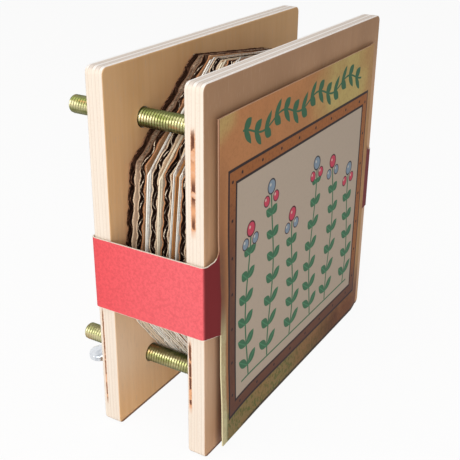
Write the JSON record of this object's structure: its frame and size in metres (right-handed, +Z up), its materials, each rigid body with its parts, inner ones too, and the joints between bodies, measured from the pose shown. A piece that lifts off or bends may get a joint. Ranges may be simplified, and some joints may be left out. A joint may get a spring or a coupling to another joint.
{
  "type": "flower press",
  "caption": "Small square plywood flower press with coach bolts, wing nuts, corrugated cards and blotting papers, in a paper sleeve with a belly band.",
  "frame": {"origin": "middle of the press on the table: under the middle of its width and of its depth, on the boards' lower edges", "axes": "+Z up, -Y out of the label side, +Y along the bolts towards the wing nuts, +X to the right seen from the label side"},
  "size_m": [0.1216, 0.0622, 0.12],
  "materials": {
    "plywood": "sanded, bare, with visible plies on the edges",
    "yellow_zinc": "yellow zinc plated",
    "white_zinc": "bright zinc plated",
    "corrugated_board": "matt",
    "blotting_paper": "matt white",
    "cream_paper": "matt cream",
    "kraft_paper": "matt brown",
    "printed_card": "printed, satin"
  },
  "bodies": {
    "front_frame": {"front_board": "plywood", "bolt_1": "yellow_zinc", "bolt_2": "yellow_zinc", "bolt_3": "yellow_zinc", "bolt_4": "yellow_zinc"},
    "rear_clamp": {"rear_board": "plywood", "washer_1": "white_zinc", "washer_2": "white_zinc", "washer_3": "white_zinc", "washer_4": "white_zinc"},
    "wing_nut_1": {"wing_nut_1": "white_zinc"},
    "wing_nut_2": {"wing_nut_2": "white_zinc"},
    "wing_nut_3": {"wing_nut_3": "white_zinc"},
    "wing_nut_4": {"wing_nut_4": "white_zinc"},
    "corrugated_card_1": {"corrugated_card_1": "corrugated_board"},
    "blotting_papers_1": {"blotting_papers_1": "blotting_paper"},
    "corrugated_card_2": {"corrugated_card_2": "corrugated_board"},
    "blotting_papers_2": {"blotting_papers_2": "blotting_paper"},
    "kraft_papers": {"kraft_papers": "kraft_paper"},
    "blotting_papers_3": {"blotting_papers_3": "blotting_paper"},
    "corrugated_card_3": {"corrugated_card_3": "corrugated_board"},
    "blotting_papers_4": {"blotting_papers_4": "cream_paper"},
    "corrugated_card_4": {"corrugated_card_4": "corrugated_board"},
    "blotting_papers_5": {"blotting_papers_5": "blotting_paper"},
    "corrugated_card_5": {"corrugated_card_5": "corrugated_board"},
    "corrugated_card_6": {"corrugated_card_6": "corrugated_board"},
    "paper_sleeve": {"paper_sleeve": "printed_card"}
  },
  "joints": [
    {"name": "wing_nut_1_turn", "type": "hinge", "parent": "rear_clamp", "child": "wing_nut_1", "pos_m": [-0.0415, 0.01124, 0.0185], "axis": [0, 1, 0], "range_deg": [-1080, 0]},
    {"name": "wing_nut_2_turn", "type": "hinge", "parent": "rear_clamp", "child": "wing_nut_2", "pos_m": [-0.0415, 0.01124, 0.1015], "axis": [0, 1, 0], "range_deg": [-1080, 0]},
    {"name": "wing_nut_3_turn", "type": "hinge", "parent": "rear_clamp", "child": "wing_nut_3", "pos_m": [0.0415, 0.01124, 0.0185], "axis": [0, 1, 0], "range_deg": [-1080, 0]},
    {"name": "wing_nut_4_turn", "type": "hinge", "parent": "rear_clamp", "child": "wing_nut_4", "pos_m": [0.0415, 0.01124, 0.1015], "axis": [0, 1, 0], "range_deg": [-1080, 0]},
    {"name": "rear_board_slide", "type": "slide", "parent": "front_frame", "child": "rear_clamp", "axis": [0, 1, 0], "range_m": [-0.003, 0]},
    {"name": "corrugated_card_1_slide", "type": "slide", "parent": "front_frame", "child": "corrugated_card_1", "axis": [0, 1, 0], "range_m": [-0.000097, 0]},
    {"name": "blotting_papers_1_slide", "type": "slide", "parent": "front_frame", "child": "blotting_papers_1", "axis": [0, 1, 0], "range_m": [-0.000194, 0]},
    {"name": "corrugated_card_2_slide", "type": "slide", "parent": "front_frame", "child": "corrugated_card_2", "axis": [0, 1, 0], "range_m": [-0.000291, 0]},
    {"name": "blotting_papers_2_slide", "type": "slide", "parent": "front_frame", "child": "blotting_papers_2", "axis": [0, 1, 0], "range_m": [-0.000388, 0]},
    {"name": "kraft_papers_slide", "type": "slide", "parent": "front_frame", "child": "kraft_papers", "axis": [0, 1, 0], "range_m": [-0.000484, 0]},
    {"name": "blotting_papers_3_slide", "type": "slide", "parent": "front_frame", "child": "blotting_papers_3", "axis": [0, 1, 0], "range_m": [-0.000581, 0]},
    {"name": "corrugated_card_3_slide", "type": "slide", "parent": "front_frame", "child": "corrugated_card_3", "axis": [0, 1, 0], "range_m": [-0.000678, 0]},
    {"name": "blotting_papers_4_slide", "type": "slide", "parent": "front_frame", "child": "blotting_papers_4", "axis": [0, 1, 0], "range_m": [-0.000775, 0]},
    {"name": "corrugated_card_4_slide", "type": "slide", "parent": "front_frame", "child": "corrugated_card_4", "axis": [0, 1, 0], "range_m": [-0.000871, 0]},
    {"name": "blotting_papers_5_slide", "type": "slide", "parent": "front_frame", "child": "blotting_papers_5", "axis": [0, 1, 0], "range_m": [-0.000968, 0]},
    {"name": "corrugated_card_5_slide", "type": "slide", "parent": "front_frame", "child": "corrugated_card_5", "axis": [0, 1, 0], "range_m": [-0.00165, 0]},
    {"name": "corrugated_card_6_slide", "type": "slide", "parent": "front_frame", "child": "corrugated_card_6", "axis": [0, 1, 0], "range_m": [-0.00232, 0]},
    {"name": "sleeve_slide", "type": "slide", "parent": "front_frame", "child": "paper_sleeve", "axis": [0, 0, 1], "range_m": [0, 0.02]}
  ],
  "couplings": [
    {"joint": "wing_nut_1_turn", "follows": "rear_board_slide", "rad_per_m": 6283.2},
    {"joint": "wing_nut_2_turn", "follows": "rear_board_slide", "rad_per_m": 6283.2},
    {"joint": "wing_nut_3_turn", "follows": "rear_board_slide", "rad_per_m": 6283.2},
    {"joint": "wing_nut_4_turn", "follows": "rear_board_slide", "rad_per_m": 6283.2},
    {"joint": "corrugated_card_1_slide", "follows": "rear_board_slide", "ratio": 0.032258},
    {"joint": "blotting_papers_1_slide", "follows": "rear_board_slide", "ratio": 0.064516},
    {"joint": "corrugated_card_2_slide", "follows": "rear_board_slide", "ratio": 0.096774},
    {"joint": "blotting_papers_2_slide", "follows": "rear_board_slide", "ratio": 0.12903},
    {"joint": "kraft_papers_slide", "follows": "rear_board_slide", "ratio": 0.16129},
    {"joint": "blotting_papers_3_slide", "follows": "rear_board_slide", "ratio": 0.19355},
    {"joint": "corrugated_card_3_slide", "follows": "rear_board_slide", "ratio": 0.22581},
    {"joint": "blotting_papers_4_slide", "follows": "rear_board_slide", "ratio": 0.25806},
    {"joint": "corrugated_card_4_slide", "follows": "rear_board_slide", "ratio": 0.29032},
    {"joint": "blotting_papers_5_slide", "follows": "rear_board_slide", "ratio": 0.32258},
    {"joint": "corrugated_card_5_slide", "follows": "rear_board_slide", "ratio": 0.54839},
    {"joint": "corrugated_card_6_slide", "follows": "rear_board_slide", "ratio": 0.77419}
  ]
}
